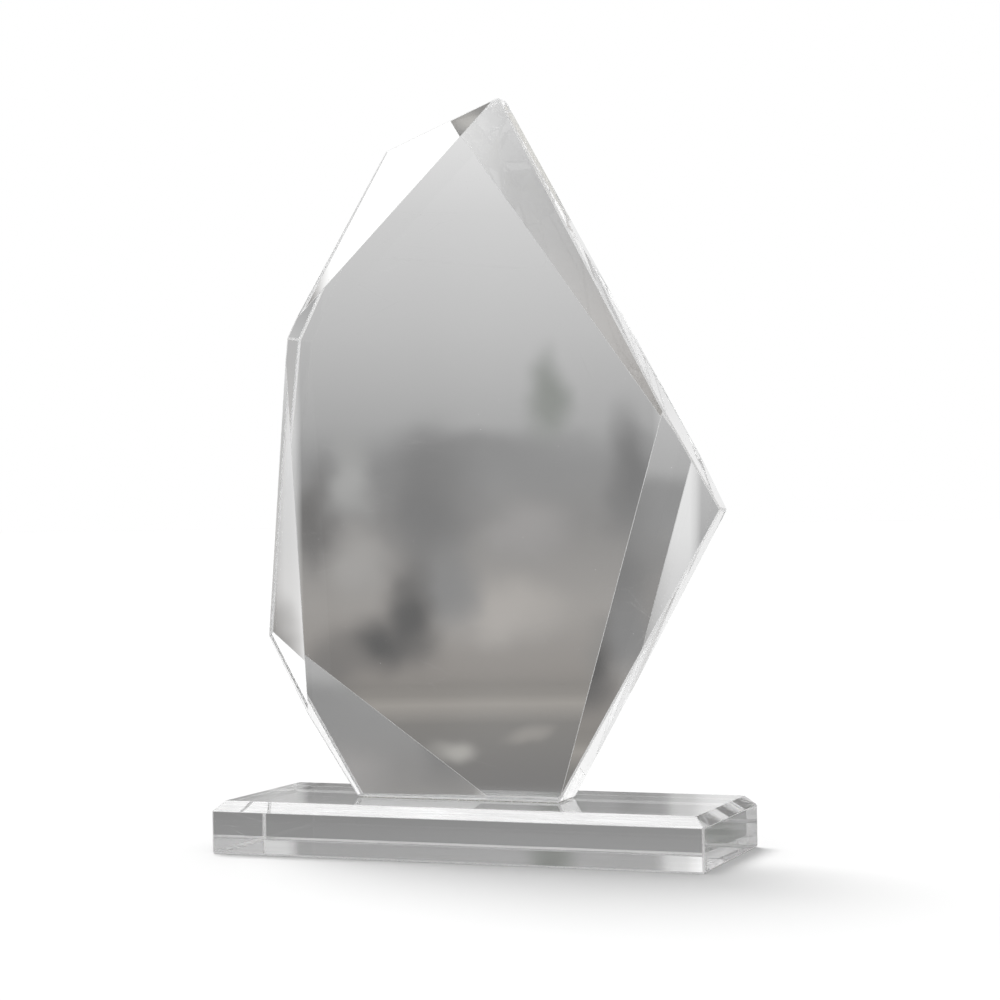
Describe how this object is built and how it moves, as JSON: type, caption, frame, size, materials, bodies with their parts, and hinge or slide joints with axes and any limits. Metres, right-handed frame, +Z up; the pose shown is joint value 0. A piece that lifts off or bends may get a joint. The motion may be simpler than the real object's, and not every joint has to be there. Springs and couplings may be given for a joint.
{
  "type": "crystal award",
  "caption": "Free-standing iceberg-shaped crystal award: a faceted clear plate bonded on edge to a bevelled rectangular crystal block.",
  "frame": {"origin": "centre of the base block's underside, on the surface that the award stands on", "axes": "+Z up, +X along the block's length to the right of the front, -Y towards the front of the award"},
  "size_m": [0.16, 0.0588, 0.2331],
  "materials": {
    "plate_crystal": "ground and polished optical crystal, water clear",
    "block_crystal": "ground and polished optical crystal, water clear",
    "cured_adhesive": "clear, glossy, cured under ultraviolet light"
  },
  "bodies": {
    "root": {"plaque": "plate_crystal", "base": "block_crystal", "bond_film": "cured_adhesive"}
  },
  "joints": []
}
